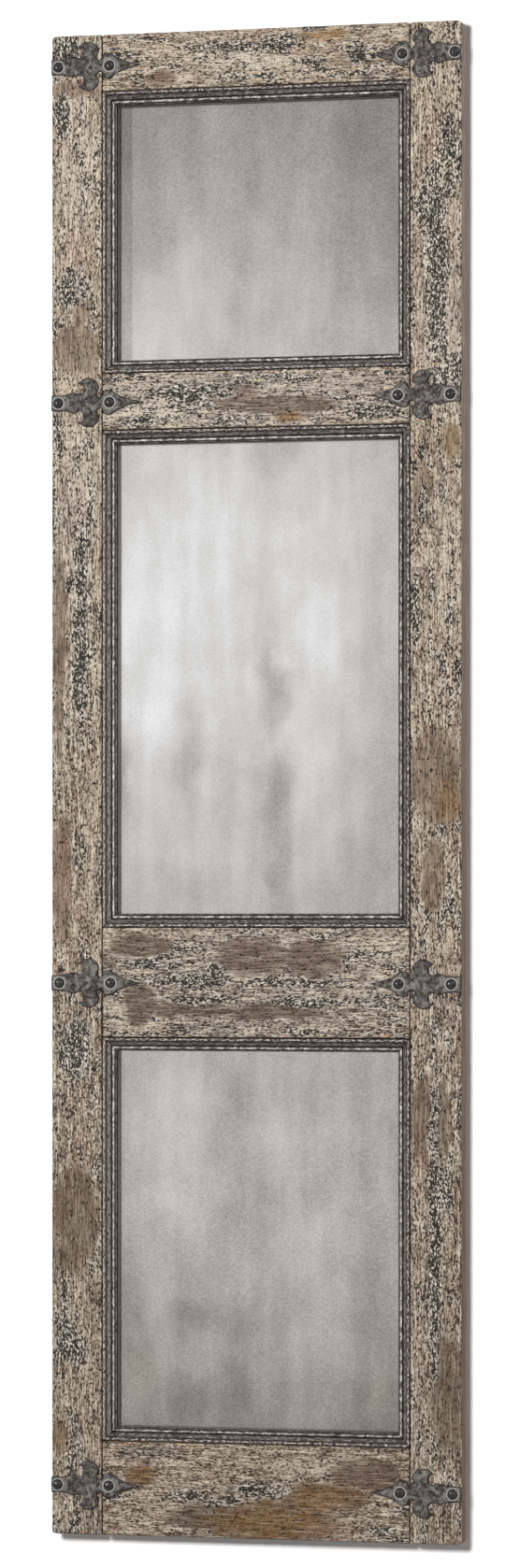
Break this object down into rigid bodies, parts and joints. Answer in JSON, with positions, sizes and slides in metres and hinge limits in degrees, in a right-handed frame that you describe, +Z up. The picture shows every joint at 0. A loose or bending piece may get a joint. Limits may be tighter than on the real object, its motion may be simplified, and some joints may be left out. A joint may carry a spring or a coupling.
{
  "type": "shutter mirror",
  "caption": "Tall wall mirror like a shutter: distressed wooden stiles and rails round stacked antiqued panes, with forged strap plates and D-ring hangers behind.",
  "frame": {"origin": "middle of the frame's bottom edge, half way through the thickness of the wood", "axes": "+Z up, +X to the right as seen from the front, +Y from the mirrored front to the back"},
  "size_m": [0.559, 0.0487, 2.007],
  "materials": {
    "painted_wood": "chipped and crackled tan paint over dark wood",
    "moulding_paint": "dark glaze with light paint rubbed on the beads",
    "antique_mirror": "antiqued, softly clouded silvering",
    "panel_board": "smooth brown hardboard",
    "forged_iron": "hammered dark iron with worn edges",
    "nail_iron": "dark polished domes",
    "zinc": "zinc plated"
  },
  "bodies": {
    "frame": {"left_stile": "painted_wood", "right_stile": "painted_wood", "top_rail": "painted_wood", "upper_rail": "painted_wood", "lower_rail": "painted_wood", "bottom_rail": "painted_wood", "top_pane": "antique_mirror", "top_pane_top_moulding": "moulding_paint", "top_pane_bottom_moulding": "moulding_paint", "top_pane_left_moulding": "moulding_paint", "top_pane_right_moulding": "moulding_paint", "middle_pane": "antique_mirror", "middle_pane_top_moulding": "moulding_paint", "middle_pane_bottom_moulding": "moulding_paint", "middle_pane_left_moulding": "moulding_paint", "middle_pane_right_moulding": "moulding_paint", "bottom_pane": "antique_mirror", "bottom_pane_top_moulding": "moulding_paint", "bottom_pane_bottom_moulding": "moulding_paint", "bottom_pane_left_moulding": "moulding_paint", "bottom_pane_right_moulding": "moulding_paint", "top_left_strap": "forged_iron", "top_left_strap_outer_nail": "nail_iron", "top_left_strap_inner_nail": "nail_iron", "top_right_strap": "forged_iron", "top_right_strap_outer_nail": "nail_iron", "top_right_strap_inner_nail": "nail_iron", "upper_left_strap": "forged_iron", "upper_left_strap_outer_nail": "nail_iron", "upper_left_strap_inner_nail": "nail_iron", "upper_right_strap": "forged_iron", "upper_right_strap_outer_nail": "nail_iron", "upper_right_strap_inner_nail": "nail_iron", "lower_left_strap": "forged_iron", "lower_left_strap_outer_nail": "nail_iron", "lower_left_strap_inner_nail": "nail_iron", "lower_right_strap": "forged_iron", "lower_right_strap_outer_nail": "nail_iron", "lower_right_strap_inner_nail": "nail_iron", "bottom_left_strap": "forged_iron", "bottom_left_strap_outer_nail": "nail_iron", "bottom_left_strap_inner_nail": "nail_iron", "bottom_right_strap": "forged_iron", "bottom_right_strap_outer_nail": "nail_iron", "bottom_right_strap_inner_nail": "nail_iron", "back_panel": "panel_board", "panel_screw_1": "zinc", "panel_screw_2": "zinc", "panel_screw_3": "zinc", "panel_screw_4": "zinc", "panel_screw_5": "zinc", "panel_screw_6": "zinc", "left_hanger_plate": "zinc", "right_hanger_plate": "zinc", "hanger_screw_1": "zinc", "hanger_screw_2": "zinc", "hanger_screw_3": "zinc", "hanger_screw_4": "zinc"},
    "left_ring": {"left_hanger_ring": "zinc"},
    "right_ring": {"right_hanger_ring": "zinc"}
  },
  "joints": [
    {"name": "left_ring_swing", "type": "hinge", "parent": "frame", "child": "left_ring", "pos_m": [-0.2595, 0.02085, 1.745], "axis": [1, 0, 0], "range_deg": [0, 180]},
    {"name": "right_ring_swing", "type": "hinge", "parent": "frame", "child": "right_ring", "pos_m": [0.2595, 0.02085, 1.745], "axis": [1, 0, 0], "range_deg": [0, 180]}
  ]
}
